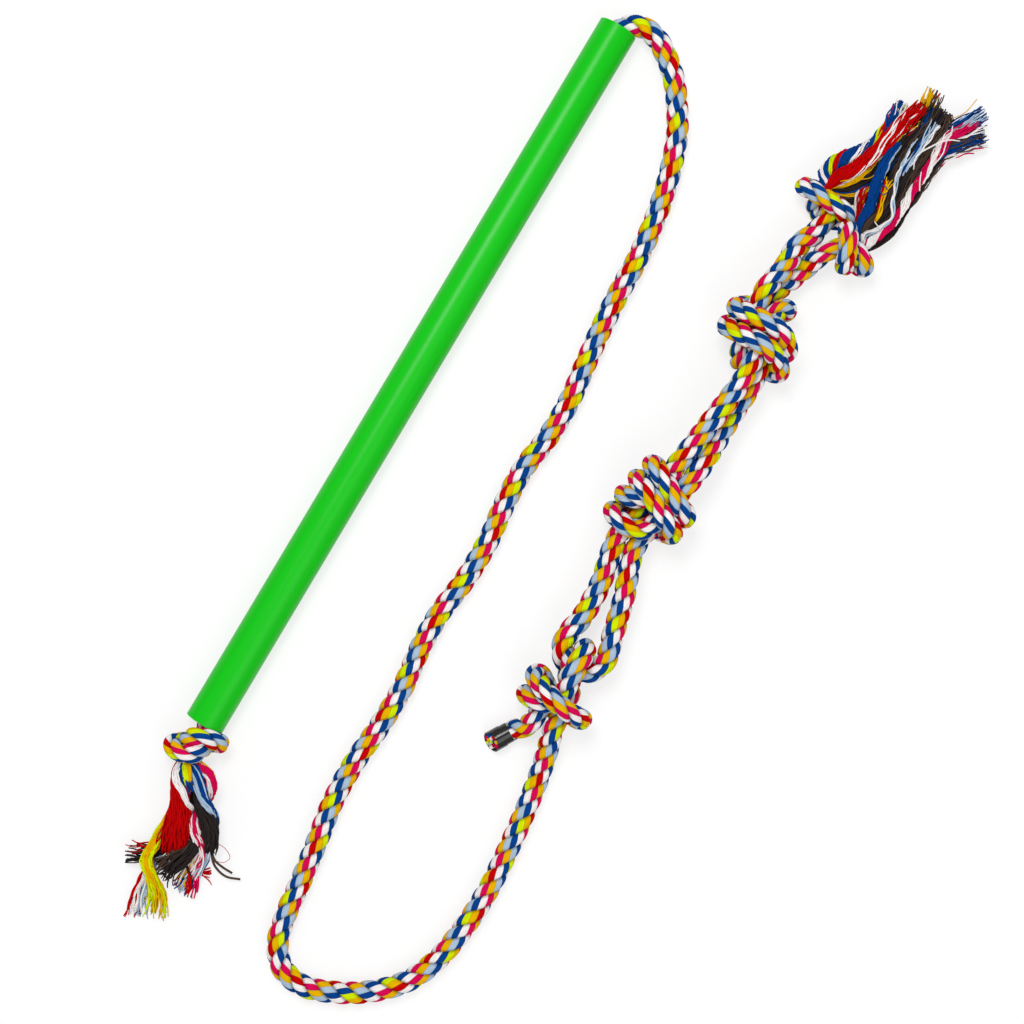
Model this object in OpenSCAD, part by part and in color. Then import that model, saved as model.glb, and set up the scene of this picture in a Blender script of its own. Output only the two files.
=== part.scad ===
// Dog flirt pole: a plastic tube on a laid rope, with a doubled and knotted rope toy on its end.
// Lying flat: +Z up from the floor, +Y along the tube, toy on the +X side. Millimetres.

/* [Tube] */
// Outside diameter of the tube
tube_od = 25; // [22:0.5:32]
// Wall of the tube
tube_wall = 2; // [1.5:0.1:2.5]
// Length of the tube
tube_length = 500; // [400:5:700]

/* [Rope] */
// Diameter of the laid rope where it runs free
rope_d = 13.5; // [11:0.1:14.5]
// Thickness of the rope inside the tie and toy knots, as a share of its diameter
knot_share = 0.85; // [0.78:0.01:0.9]
// Thickness of the rope inside the stop knot, as a share of its diameter
stop_share = 0.68; // [0.62:0.01:0.74]
// Thickness of the rope inside the toy's end knots, as a share of its diameter
end_share = 0.74; // [0.68:0.01:0.78]
// Free gap between the linked loops of the lead and the toy
loop_gap = 0.7; // [0.5:0.1:2]

/* [Toy] */
// Distance from the link to the middle of the lower double knot
lower_reach = 97; // [90:1:130]
// Distance from the lower double knot to the upper one
knot_spacing = 124; // [110:1:150]
// Distance from the upper double knot to the left end knot
left_leg = 91.5; // [85:0.5:140]
// Distance from the upper double knot to the right end knot
right_leg = 74; // [70:0.5:120]
// Length of the frayed ends past the end knots
tassel_length = 76; // [50:1:110]

/* [Ends] */
// Length of the taped stretch of the lead's cut end
tape_length = 17; // [14:1:30]
// Thickness of the tape
tape_wall = 0.6; // [0.4:0.1:1.2]
// Length of the frayed butt end past the stop knot
butt_length = 80; // [50:1:110]

/* [Hidden] */

// Colours of the plastic, the tape, the rope and its yarns.
tube_green = [0.16, 0.72, 0.2];
tape_black = [0.05, 0.05, 0.05];
rope_orange = [0.85, 0.6, 0.1];
knot_orange = [0.9, 0.65, 0.15];
red = [0.75, 0.05, 0.05];
black = [0.15, 0.12, 0.1];
brown = [0.25, 0.18, 0.13];
pink = [0.8, 0.1, 0.35];
neon = [0.78, 0.85, 0.08];
navy = [0.05, 0.25, 0.55];
sky = [0.6, 0.75, 0.85];
white = [0.9, 0.88, 0.86];

// Sides of a rope and of a yarn bundle, and the ring spacings as shares of the rope's thickness.
rope_sides = 10;
yarn_sides = 7;
knot_ring_share = 0.42;
bight_ring_share = 0.67;
leg_ring_share = 0.84;
yarn_ring_share = 0.7;
free_ring_share = 1.6;
core_ring_share = 4.8;
tube_sides = 96;
overrun = 1;

// Middle of the lay-out and place of the link, both from the middle of the tube's lower end.
middle_out = 109.5;
middle_up = 225;
link_out = 178.5;
link_up = 160;

tube_r = tube_od / 2;
bore_r = tube_r - tube_wall;
rope_r = rope_d / 2;
knot_d = rope_d * knot_share;
stop_d = rope_d * stop_share;
end_d = rope_d * end_share;
bore_free = bore_r - rope_r;
link_r = rope_d + loop_gap;
link_z = rope_r + link_r;
knot_step = knot_d * knot_ring_share;

// Points are [x, y, z, radius].
function xyz(p) = [p[0], p[1], p[2]];
function unit(v) = v / norm(v);
function backward(a) = [for (i = [len(a) - 1:-1:0]) a[i]];
function part_of(a, from, to) = [for (i = [from:to]) a[i]];

// A knot's shares [right, along, up, ease], rolled about its length, turned about Z and placed.
// Ease 0 is the rope squeezed in the knot, and 1 is the free rope.
function turned(p, yaw, roll) =
    let(u = p[0] * cos(roll) + p[2] * sin(roll), w = -p[0] * sin(roll) + p[2] * cos(roll))
    [u * cos(yaw) - p[1] * sin(yaw), u * sin(yaw) + p[1] * cos(yaw), w];
function tied(shares, middle, yaw, roll, size) = [for (p = shares)
    let(t = middle + size * turned(p, yaw, roll), ease = len(p) > 3 ? p[3] : 0)
    [t[0], t[1], t[2], size / 2 + (rope_r - size / 2) * ease]];

// Smooth curve through the points: slopes by chord length, then cubic pieces.
function chord(a, i) = norm(xyz(a[i + 1]) - xyz(a[i]));
function slope(a, i) = i == 0 ? (a[1] - a[0]) / chord(a, 0)
    : i == len(a) - 1 ? (a[i] - a[i - 1]) / chord(a, i - 1)
    : let(b = chord(a, i - 1), f = chord(a, i))
      ((a[i] - a[i - 1]) / b * f + (a[i + 1] - a[i]) / f * b) / (b + f);
function bend_at(p, m, q, n, h, t) =
    (2 * t * t * t - 3 * t * t + 1) * p + (t * t * t - 2 * t * t + t) * h * m
    + (3 * t * t - 2 * t * t * t) * q + (t * t * t - t * t) * h * n;
function curve(a, from, to, step) = concat([for (i = [from:to - 1])
    let(h = chord(a, i), k = max(1, ceil(h / step)), m = slope(a, i), n = slope(a, i + 1))
    for (j = [0:k - 1]) bend_at(a[i], m, a[i + 1], n, h, j / k)], [a[to]]);

// Directions of the rings: the end rings keep the slope of the whole rope.
function heading(c, i, first, last) = i == 0 ? first : i == len(c) - 1 ? last
    : unit(xyz(c[i + 1]) - xyz(c[i - 1]));
function side_start(t) = unit(cross(t, abs(t[2]) < 0.9 ? [0, 0, 1] : [1, 0, 0]));
function carried(s, t) = unit(s - (s * t) * t);

module swept(a, from, to, step, sides) {
    c = curve(a, from, to, step);
    first = unit(xyz(slope(a, from)));
    last = unit(xyz(slope(a, to)));
    n = len(c);
    heads = [for (i = [0:n - 1]) heading(c, i, first, last)];
    lefts = [for (i = 0, s = side_start(heads[0]); i < n; i = i + 1,
        s = i < n ? carried(s, heads[i]) : s) s];
    rings = [for (i = [0:n - 1]) for (k = [0:sides - 1])
        let(up = cross(heads[i], lefts[i]), turn = 360 * (k + 0.5) / sides)
        xyz(c[i]) + c[i][3] * (cos(turn) * lefts[i] + sin(turn) * up)];
    walls = [for (i = [0:n - 2]) for (k = [0:sides - 1])
        let(l = (k + 1) % sides)
        [i * sides + k, (i + 1) * sides + k, (i + 1) * sides + l, i * sides + l]];
    split = [for (f = walls) each [[f[0], f[1], f[2]], [f[0], f[2], f[3]]]];
    ends = [[for (k = [0:sides - 1]) k], [for (k = [sides - 1:-1:0]) (n - 1) * sides + k]];
    polyhedron(points = rings, faces = concat(split, ends));
}

module laid() {
    translate([-middle_out, -middle_up, 0]) children();
}

module rope_run(route, from, to, step) {
    laid() swept(route, from, to, step, rope_sides);
}

// Overhand knot in a single rope: half of it, the same half turned about its middle, and its end.
overhand_half_shares = [[0.3, -1.9, 0, 1], [0.46, -1.1, 0], [0.53, -0.45, 0], [0.54, 0.1, -0.25],
    [0.32, 0.45, -0.82], [-0.45, 0.66, -1.12], [-1.22, 0.52, -0.78], [-1.58, 0.3, 0], [-1.12, 0.15, 0.8]];
function half_turned(p) = len(p) > 3 ? [-p[0], -p[1], p[2], p[3]] : [-p[0], -p[1], p[2]];
overhand_shares = concat(overhand_half_shares, [[0, 0, 1]],
    [for (i = [len(overhand_half_shares) - 1:-1:1]) half_turned(overhand_half_shares[i])], [[-0.42, 1.4, 0]]);

// Overhand knot in a doubled rope: the rope that goes in on the right, and its mirror turn.
right_rope_shares = [[0.56, -2.1, -0.5, 0.4], [0.52, -1, -0.5], [0.52, -0.1, -0.5],
    [0.5, 0.7, -0.5], [0.2, 1.4, -0.55], [-0.5, 1.75, -0.6], [-1.25, 1.72, -0.3], [-1.6, 1.6, 0.5],
    [-1.2, 1.5, 1.35], [-0.3, 1.2, 1.6], [0.6, 0.9, 1.55], [1.4, 0.68, 1.08], [1.6, 0.58, 0.1],
    [1.52, 0.48, -0.87], [1, 0.32, -1.53], [0.1, 0.02, -1.64], [-0.8, -0.3, -1.52], [-1.5, -0.5, -0.95],
    [-1.7, -0.55, -0.1], [-1.3, -0.42, 0.44], [-0.66, 0.05, 0.52], [-0.51, 0.9, 0.52], [-0.56, 2.1, 0.52, 0.4]];
function over_turned(p) = len(p) > 3 ? [p[0], -p[1], -p[2], p[3]] : [p[0], -p[1], -p[2]];
left_rope_shares = [for (p = backward(right_rope_shares)) over_turned(p)];

// Stop knot under the tube's lower end, on the rope that comes down the bore.
seat_gap = 0.4;
stop_yaw = 200;
stop_roll = 180;
stop_middle_shares = [0.24, -1.4, 1.62];
stop_middle = stop_middle_shares * stop_d - [0, seat_gap, 0];
stop_knot_route = tied(overhand_shares, stop_middle, stop_yaw, stop_roll, stop_d);
core_top = tube_length - 3.2 * rope_d;
core_side = -0.85 * bore_free;
core_route = [[core_side, core_top, tube_r, rope_r],
    [core_side, core_top - 2 * rope_d, tube_r, rope_r],
    [core_side * 0.8, tube_length * 0.5, tube_r, rope_r],
    [core_side * 0.7, 4 * rope_d, tube_r + bore_free * 0.2, rope_r],
    [core_side * 0.6, 1.5 * rope_d, tube_r + bore_free * 0.35, rope_r]];
stop_route = concat(core_route, part_of(stop_knot_route, 1, len(stop_knot_route) - 1));
stop_from = len(core_route) - 1;
stop_to = len(stop_route) - 1;

// Lead: out of the tube's mouth, down beside the tube, round and up to the toy.
mouth_route = [[core_side, core_top, tube_r, rope_r],
    [core_side, tube_length - 1.65 * rope_d, tube_r, rope_r],
    [core_side * 0.6, tube_length - 0.6 * rope_d, tube_r, rope_r],
    [bore_free * 0.7, tube_length + 0.15 * rope_d, tube_r, rope_r],
    [bore_r, tube_length + 0.6 * rope_d, tube_r, rope_r],
    [bore_r + 0.8 * rope_d, tube_length + 0.6 * rope_d, tube_r - 0.08 * rope_d, rope_r],
    [bore_r + 1.75 * rope_d, tube_length + 0.1 * rope_d, tube_r - 0.22 * rope_d, rope_r]];
// On the floor: the way down beside the tube goes by its length, and the turn is as it lies.
floor_gap = 0.2;
settle_shares = [0.12, 0.02];
down_out = [46, 56, 64, 70, 76, 80, 83, 84, 86, 89, 92, 92, 89, 90, 93, 93, 90, 91, 94, 94, 92];
down_shares = [0.982, 0.956, 0.93, 0.9, 0.86, 0.82, 0.772, 0.72, 0.67, 0.62, 0.572, 0.522, 0.474, 0.424,
    0.374, 0.318, 0.262, 0.212, 0.164, 0.108, 0.048];
turn_points = [[93, -2], [97, -27], [101, -53], [104, -78], [109, -96], [119, -107], [134, -110],
    [153, -104], [174, -91], [190, -74], [199, -53], [203, -28], [204, 0], [202, 26], [199, 52], [195, 77]];
floor_points = concat([for (i = [0:len(down_out) - 1]) [down_out[i], tube_length * down_shares[i]]],
    turn_points);
floor_route = [for (i = [0:len(floor_points) - 1])
    let(lift = i < len(settle_shares) ? settle_shares[i] * rope_d : 0)
    [floor_points[i][0], floor_points[i][1], rope_r + floor_gap + lift, rope_r]];

// Tie knot: the lead runs up its middle, links the toy, and its end ties an overhand knot round all.
tie_side_share = 0.13;
tie_drop_share = 2.16;
tie_height_share = 2.12;
tie_middle = [link_out + tie_side_share * knot_d, link_up - link_r - tie_drop_share * knot_d,
    tie_height_share * knot_d];
standing_shares = [[0.85, -2, -1, 1], [0.6, -1.2, -0.55, 0.4], [0.55, -0.5, -0.43], [0.55, 0.2, -0.45],
    [0.45, 0.85, -0.7], [0.25, 1.3, -1.05, 0.5]];
wrap_shares = [[0, 1.1, 0.62, 0.4], [0.02, 0.62, 0.47], [-0.12, 0.2, 0.5], [-0.6, -0.12, 0.55],
    [-1.2, -0.27, 0.35], [-1.62, -0.28, -0.4], [-1.37, -0.35, -1.23], [-0.5, -0.38, -1.57],
    [0.7, -0.18, -1.48], [1.5, -0.05, -0.9], [1.62, 0.1, -0.05], [1.25, 0.15, 0.9], [0.4, 0.2, 1.55],
    [-0.6, 0.4, 1.45], [-1.4, 0.65, 0.8], [-1.75, 0.88, 0.05], [-1.5, 1, -0.55], [-0.95, 0.72, -0.85],
    [-0.63, 0.1, -0.58], [-0.57, -0.5, -0.48], [-0.56, -1.2, -0.65, 0.2], [-0.66, -1.75, -0.95, 0.6]];
link_turns = [-112, -90, -60, -30, 0, 30, 60, 90, 112];
link_route = [for (t = link_turns)
    [link_out, link_up - link_r + link_r * cos(t), link_z + link_r * sin(t), rope_r]];
standing_route = tied(standing_shares, tie_middle, 0, 0, knot_d);
wrap_route = tied(wrap_shares, tie_middle, 0, 0, knot_d);

// Taped tail: the rope's last stretch, squeezed a little by the tape.
tape_grip_share = 0.93;
tape_start_share = 0.18;
tape_cover_share = 0.78;
tape_ease = 0.05;
tail_shares = [[0, 0.06], [0.09, 0], [0.17, 0], [1, 0]];
tail_place_shares = [-0.86, -4.87];
tail_turn = -120;
tail_r = rope_r * tape_grip_share;
tail_z = tail_r + tape_wall;
function on_tail(share) = [link_out, link_up] + tail_place_shares * rope_d
    + [cos(tail_turn), sin(tail_turn)] * tape_length * share;
tail_route = [for (s = tail_shares) [on_tail(s[0])[0], on_tail(s[0])[1], tail_z + s[1] * rope_d, tail_r]];

lead_route = concat(mouth_route, floor_route, standing_route, link_route, wrap_route, tail_route);
tie_from = len(mouth_route) + len(floor_route);
tie_to = tie_from + len(standing_route) + len(link_route) + len(wrap_route) - 1;
lead_to = len(lead_route) - 1;

// Toy: one rope from the left frayed end, through both double knots to the bight, and back.
upper_reach = lower_reach + knot_spacing;
lower_shares = [-0.7, 2.16];
upper_shares = [-0.65, 2.35];
left_end_shares = [-1.18, 1.65];
right_end_shares = [1.24, 2.1];
lower_yaw = -9;
upper_yaw = 187.5;
upper_roll = -60;
left_end_yaw = 4;
left_end_roll = 0;
right_end_yaw = -50;
right_end_roll = 255;
function toy_middle(shares, reach, size) = [link_out + shares[0] * knot_d, link_up + reach, shares[1] * size];
lower_middle = toy_middle(lower_shares, lower_reach, knot_d);
upper_middle = toy_middle(upper_shares, upper_reach, knot_d);
left_end_middle = toy_middle(left_end_shares, upper_reach + left_leg, end_d);
right_end_middle = toy_middle(right_end_shares, upper_reach + right_leg, end_d);
lower_right = tied(right_rope_shares, lower_middle, lower_yaw, 0, knot_d);
lower_left = tied(left_rope_shares, lower_middle, lower_yaw, 0, knot_d);
upper_right = tied(right_rope_shares, upper_middle, upper_yaw, upper_roll, knot_d);
upper_left = tied(left_rope_shares, upper_middle, upper_yaw, upper_roll, knot_d);
left_end = tied(overhand_shares, left_end_middle, left_end_yaw, left_end_roll, end_d);
right_end = part_of(tied(overhand_shares, right_end_middle, right_end_yaw, right_end_roll, end_d),
    1, len(overhand_shares) - 1);

// Legs between the knots: shares are across and up of the rope's diameter, and along of the leg.
top_left_shares = [[-1.09, 0.645, 1.44], [-1.12, 0.47, 1.78]];
top_right_shares = [[-0.54, 0.54, 0.93], [-0.26, 0.68, 1]];
mid_left_shares = [[-0.42, 0.525, 2.7]];
mid_right_shares = [[0.28, 0.555, 1.56]];
function leg(shares, from, span) = [for (p = shares)
    [link_out + p[0] * rope_d, link_up + from + p[1] * span, p[2] * rope_d, rope_r]];
top_left = leg(top_left_shares, upper_reach, left_leg);
top_right = leg(top_right_shares, upper_reach, right_leg);
mid_left = leg(mid_left_shares, lower_reach, knot_spacing);
mid_right = leg(mid_right_shares, lower_reach, knot_spacing);

// Bight: half a circle round the lead's loop, with a leg at each side.
bight_steps = 8;
bight_left_shares = [[0.15, 2.67, -0.11], [0.18, 1.19, 0]];
bight_right_shares = [[-0.3, 1.19, 0], [-0.7, 2.8, -0.11]];
function bight_leg(shares, side) = [for (p = shares)
    [link_out + side * link_r + p[0] * rope_d, link_up + p[1] * rope_d, link_z + p[2] * rope_d, rope_r]];
bight_turn = [for (i = [0:bight_steps])
    let(t = 180 * i / bight_steps)
    [link_out - link_r * cos(t), link_up - link_r * sin(t), link_z, rope_r]];
bight_route = concat(bight_leg(bight_left_shares, -1), bight_turn, bight_leg(bight_right_shares, 1));

toy_route = concat(backward(left_end), top_left, upper_right, mid_right, backward(lower_left), bight_route,
    lower_right, mid_left, backward(upper_left), top_right, right_end);
at_top_left = len(left_end);
at_upper_one = at_top_left + len(top_left);
at_mid_right = at_upper_one + len(upper_right);
at_lower_one = at_mid_right + len(mid_right);
at_bight = at_lower_one + len(lower_left);
at_lower_two = at_bight + len(bight_route);
at_mid_left = at_lower_two + len(lower_right);
at_upper_two = at_mid_left + len(mid_left);
at_top_right = at_upper_two + len(upper_left);
at_right_end = at_top_right + len(top_right);
toy_to = len(toy_route) - 1;

// Frayed ends: bundles of yarn, each from its own place in the rope's cut section to its tip.
// Steps are shares: right and along of the frayed length, and height of the rope's diameter.
bundle_r = rope_r * 0.31;
bundle_seat = rope_r * 0.64;
bundle_lead = rope_d * 0.5;
flare_share = 1.45;
tip_share = 1.35;
butt_red_shares = [[0.075, -0.2, 1.55], [0.35, -0.67, 0.97], [0.56, -0.8, 0.6]];
butt_black_shares = [[0.26, -0.14, 1.45], [0.49, -0.52, 0.85], [0.82, -0.59, 0.4]];
butt_pink_shares = [[0.26, -0.34, 0.6], [0.44, -0.54, 0.38], [0.45, -0.74, 0.3], [0.42, -0.92, 0.3]];
butt_yellow_shares = [[0.08, -0.34, 0.97], [0.05, -0.62, 0.62], [0.09, -0.83, 0.4], [0.41, -1.17, 0.3]];
butt_brown_shares = [[-0.04, -0.39, 0.5], [-0.05, -0.67, 0.35], [-0.05, -0.88, 0.3]];
butt_blue_shares = [[0.14, -0.54, 0.4], [0.175, -0.82, 0.3]];
left_navy_shares = [[0.05, 0.38, 1.05], [0.19, 0.85, 0.67]];
left_red_shares = [[0.13, 0.38, 1.7], [0.32, 0.93, 1.2]];
left_black_shares = [[0.22, 0.36, 2], [0.4, 0.97, 1.35]];
left_blue_shares = [[0.31, 0.36, 1.3], [0.49, 1, 0.55]];
left_white_shares = [[0.1, 0.42, 0.35], [0.26, 0.87, 0.3]];
left_orange_shares = [[0.19, 0.42, 0.6], [0.4, 1.06, 0.35]];
right_black_shares = [[-0.09, 0.62, 1.6], [0, 1.3, 1.3]];
right_navy_shares = [[0, 0.68, 2.05], [0.24, 1.42, 1.1]];
right_pink_shares = [[0.08, 0.6, 1.3], [0.31, 1.3, 0.95]];
right_brown_shares = [[0.13, 0.5, 0.8], [0.38, 1.25, 0.6]];
right_white_shares = [[0, 0.55, 0.32], [0.27, 1.16, 0.3]];
right_neon_shares = [[-0.06, 0.6, 0.9], [0.1, 1.28, 0.45]];
function way_out(route) = unit(xyz(route[len(route) - 1]) - xyz(route[len(route) - 2]));
function seat_of(route, turn) =
    let(t = way_out(route), s = side_start(t), up = cross(s, t), e = route[len(route) - 1])
    xyz(e) + bundle_seat * (cos(turn) * s + sin(turn) * up);
function with_r(p, r) = [p[0], p[1], p[2], r];
function bundle(route, turn, shares, size) =
    let(s = seat_of(route, turn), t = way_out(route), e = route[len(route) - 1])
    concat([with_r(s, bundle_r), with_r(s + bundle_lead * t, bundle_r)],
        [for (i = [0:len(shares) - 1])
            [e[0] + size * shares[i][0], e[1] + size * shares[i][1], rope_d * shares[i][2],
            bundle_r * (i == len(shares) - 1 ? tip_share : flare_share)]]);

module frayed(route, turn, shares, size) {
    b = bundle(route, turn, shares, size);
    laid() swept(b, 0, len(b) - 1, rope_d * yarn_ring_share, yarn_sides);
}

module handle_tube() {
    color(tube_green) laid() translate([0, 0, tube_r]) rotate([-90, 0, 0]) difference() {
        cylinder(h = tube_length, r = tube_r, $fn = tube_sides);
        translate([0, 0, -overrun]) cylinder(h = tube_length + 2 * overrun, r = bore_r, $fn = tube_sides);
    }
}

module core_rope() {
    color(rope_orange) rope_run(stop_route, 0, stop_from, rope_d * core_ring_share);
}

module stop_knot() {
    color(knot_orange) rope_run(stop_route, stop_from, stop_to, stop_d * knot_ring_share);
}

module butt_yarn_red() {
    color(red) frayed(stop_route, 90, butt_red_shares, butt_length);
}

module butt_yarn_black() {
    color(black) frayed(stop_route, 150, butt_black_shares, butt_length);
}

module butt_yarn_pink() {
    color(pink) frayed(stop_route, 210, butt_pink_shares, butt_length);
}

module butt_yarn_yellow() {
    color(neon) frayed(stop_route, 30, butt_yellow_shares, butt_length);
}

module butt_yarn_brown() {
    color(brown) frayed(stop_route, 330, butt_brown_shares, butt_length);
}

module butt_yarn_blue() {
    color(sky) frayed(stop_route, 270, butt_blue_shares, butt_length);
}

module lead_rope() {
    color(rope_orange) rope_run(lead_route, 0, tie_from, rope_d * free_ring_share);
}

module tie_knot() {
    color(knot_orange) rope_run(lead_route, tie_from, tie_to, knot_step);
}

module lead_tail() {
    color(rope_orange) rope_run(lead_route, tie_to, lead_to, knot_step);
}

module end_tape() {
    start = on_tail(tape_start_share);
    cover = tape_length * tape_cover_share;
    color(tape_black) laid() translate([start[0], start[1], tail_z])
        rotate([0, 0, tail_turn]) rotate([0, 90, 0]) difference() {
            cylinder(h = cover, r = tail_r + tape_wall, $fn = tube_sides);
            translate([0, 0, -overrun])
                cylinder(h = cover + 2 * overrun, r = tail_r + tape_ease, $fn = tube_sides);
        }
}

module toy_bight() {
    color(rope_orange) rope_run(toy_route, at_bight - 1, at_lower_two, knot_d * bight_ring_share);
}

module toy_lower_knot_left() {
    color(knot_orange) rope_run(toy_route, at_lower_one, at_bight - 1, knot_step);
}

module toy_lower_knot_right() {
    color(knot_orange) rope_run(toy_route, at_lower_two, at_mid_left - 1, knot_step);
}

module toy_mid_leg_left() {
    color(rope_orange) rope_run(toy_route, at_mid_left - 1, at_upper_two, knot_d * leg_ring_share);
}

module toy_mid_leg_right() {
    color(rope_orange) rope_run(toy_route, at_mid_right - 1, at_lower_one, knot_d * leg_ring_share);
}

module toy_upper_knot_left() {
    color(knot_orange) rope_run(toy_route, at_upper_two, at_top_right - 1, knot_step);
}

module toy_upper_knot_right() {
    color(knot_orange) rope_run(toy_route, at_upper_one, at_mid_right - 1, knot_step);
}

module toy_top_leg_left() {
    color(rope_orange) rope_run(toy_route, at_top_left - 1, at_upper_one, knot_d * leg_ring_share);
}

module toy_top_leg_right() {
    color(rope_orange) rope_run(toy_route, at_top_right - 1, at_right_end, knot_d * leg_ring_share);
}

module toy_end_knot_left() {
    color(knot_orange) rope_run(toy_route, 0, at_top_left - 1, knot_step);
}

module toy_end_knot_right() {
    color(knot_orange) rope_run(toy_route, at_right_end, toy_to, knot_step);
}

module left_yarn_navy() {
    color(navy) frayed(left_end, 180, left_navy_shares, tassel_length);
}

module left_yarn_red() {
    color(red) frayed(left_end, 120, left_red_shares, tassel_length);
}

module left_yarn_black() {
    color(black) frayed(left_end, 60, left_black_shares, tassel_length);
}

module left_yarn_blue() {
    color(sky) frayed(left_end, 0, left_blue_shares, tassel_length);
}

module left_yarn_white() {
    color(white) frayed(left_end, 240, left_white_shares, tassel_length);
}

module left_yarn_orange() {
    color(rope_orange) frayed(left_end, 300, left_orange_shares, tassel_length);
}

module right_yarn_black() {
    color(black) frayed(right_end, 160, right_black_shares, tassel_length);
}

module right_yarn_navy() {
    color(navy) frayed(right_end, 100, right_navy_shares, tassel_length);
}

module right_yarn_pink() {
    color(pink) frayed(right_end, 40, right_pink_shares, tassel_length);
}

module right_yarn_brown() {
    color(brown) frayed(right_end, 340, right_brown_shares, tassel_length);
}

module right_yarn_white() {
    color(white) frayed(right_end, 280, right_white_shares, tassel_length);
}

module right_yarn_neon() {
    color(neon) frayed(right_end, 220, right_neon_shares, tassel_length);
}

handle_tube();
core_rope();
stop_knot();
butt_yarn_red();
butt_yarn_black();
butt_yarn_pink();
butt_yarn_yellow();
butt_yarn_brown();
butt_yarn_blue();
lead_rope();
tie_knot();
lead_tail();
end_tape();
toy_bight();
toy_lower_knot_left();
toy_lower_knot_right();
toy_mid_leg_left();
toy_mid_leg_right();
toy_upper_knot_left();
toy_upper_knot_right();
toy_top_leg_left();
toy_top_leg_right();
toy_end_knot_left();
toy_end_knot_right();
left_yarn_navy();
left_yarn_red();
left_yarn_black();
left_yarn_blue();
left_yarn_white();
left_yarn_orange();
right_yarn_black();
right_yarn_navy();
right_yarn_pink();
right_yarn_brown();
right_yarn_white();
right_yarn_neon();
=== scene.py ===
import math
import random

import bpy
import numpy as np
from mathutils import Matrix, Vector


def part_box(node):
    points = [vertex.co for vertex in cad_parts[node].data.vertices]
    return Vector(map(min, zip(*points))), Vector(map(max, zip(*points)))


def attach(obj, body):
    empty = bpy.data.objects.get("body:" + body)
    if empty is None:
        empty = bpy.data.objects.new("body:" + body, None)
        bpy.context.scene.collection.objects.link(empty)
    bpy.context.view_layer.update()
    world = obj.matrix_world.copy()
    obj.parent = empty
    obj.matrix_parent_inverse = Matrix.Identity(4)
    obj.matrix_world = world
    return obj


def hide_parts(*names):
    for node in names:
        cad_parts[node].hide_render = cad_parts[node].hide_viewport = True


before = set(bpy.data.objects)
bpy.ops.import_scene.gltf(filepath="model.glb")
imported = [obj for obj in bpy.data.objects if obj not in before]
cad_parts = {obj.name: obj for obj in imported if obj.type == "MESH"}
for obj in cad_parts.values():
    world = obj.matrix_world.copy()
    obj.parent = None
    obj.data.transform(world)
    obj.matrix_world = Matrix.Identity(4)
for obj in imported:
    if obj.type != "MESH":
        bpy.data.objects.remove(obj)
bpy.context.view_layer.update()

# The view: the pole lies flat on a pale floor and is seen from straight above through a long lens.
# The picture is turned, so that the tube leans to the right in it.
view_place = (-0.0129, -0.0155)
view_height = 1.31
view_width = 0.63
view_turn = math.radians(30.78)
lying_height = 0.02
camera_data = bpy.data.cameras.new("camera")
camera_data.sensor_width = 36.0
camera_data.lens = camera_data.sensor_width * (view_height - lying_height) / view_width
camera = bpy.data.objects.new("camera", camera_data)
camera.location = (*view_place, view_height)
camera.rotation_euler = (0.0, 0.0, view_turn)
bpy.context.scene.collection.objects.link(camera)
bpy.context.scene.camera = camera

# The lead: a soft rope of three strands of five cotton yarns each, from the tube's mouth through a
# long hairpin to the toy's bend, where an overhand knot round itself closes it. Route points are
# [x, y, z, radius] in metres from the middle of the tube's lower end.
tube_low, tube_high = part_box("handle_tube")
tube_r = (tube_high.z - tube_low.z) / 2
tube_length = tube_high.y - tube_low.y
tube_wall = 0.002
bore_r = tube_r - tube_wall
datum = np.array(((tube_low.x + tube_high.x) / 2, tube_low.y, 0.0, 0.0))
rope_d = 0.0135
rope_r = rope_d / 2
bore_free = bore_r - rope_r
knot_d = rope_d * 0.85
link_x = 0.1785
link_y = 0.160
loop_gap = 0.0007
link_r = rope_d + loop_gap
link_z = rope_r + link_r
core_top = tube_length - 3.2 * rope_d
core_side = -0.85 * bore_free
mouth_route = [
    [core_side, core_top, tube_r, rope_r],
    [core_side, tube_length - 1.65 * rope_d, tube_r, rope_r],
    [core_side * 0.6, tube_length - 0.6 * rope_d, tube_r, rope_r],
    [bore_free * 0.7, tube_length + 0.15 * rope_d, tube_r, rope_r],
    [bore_r, tube_length + 0.6 * rope_d, tube_r, rope_r],
    [bore_r + 0.8 * rope_d, tube_length + 0.6 * rope_d, tube_r - 0.08 * rope_d, rope_r],
    [bore_r + 1.75 * rope_d, tube_length + 0.1 * rope_d, tube_r - 0.22 * rope_d, rope_r],
]
floor_gap = 0.0002
settle_shares = [0.12, 0.02]
down_out = [0.046, 0.056, 0.064, 0.070, 0.076, 0.080, 0.083, 0.084, 0.086, 0.089, 0.092, 0.092, 0.089,
            0.090, 0.093, 0.093, 0.090, 0.091, 0.094, 0.094, 0.092]
down_shares = [0.982, 0.956, 0.93, 0.9, 0.86, 0.82, 0.772, 0.72, 0.67, 0.62, 0.572, 0.522, 0.474,
               0.424, 0.374, 0.318, 0.262, 0.212, 0.164, 0.108, 0.048]
turn_points = [(0.093, -0.002), (0.097, -0.027), (0.101, -0.053), (0.104, -0.078), (0.109, -0.096),
               (0.119, -0.107), (0.134, -0.110), (0.153, -0.104), (0.174, -0.091), (0.190, -0.074),
               (0.199, -0.053), (0.203, -0.028), (0.204, 0.0), (0.202, 0.026), (0.199, 0.052),
               (0.195, 0.077)]
floor_points = [(x, tube_length * y) for x, y in zip(down_out, down_shares)] + turn_points
floor_route = [[x, y, rope_r + floor_gap, rope_r] for x, y in floor_points]
for point, share in zip(floor_route, settle_shares):
    point[2] += share * rope_d
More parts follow.
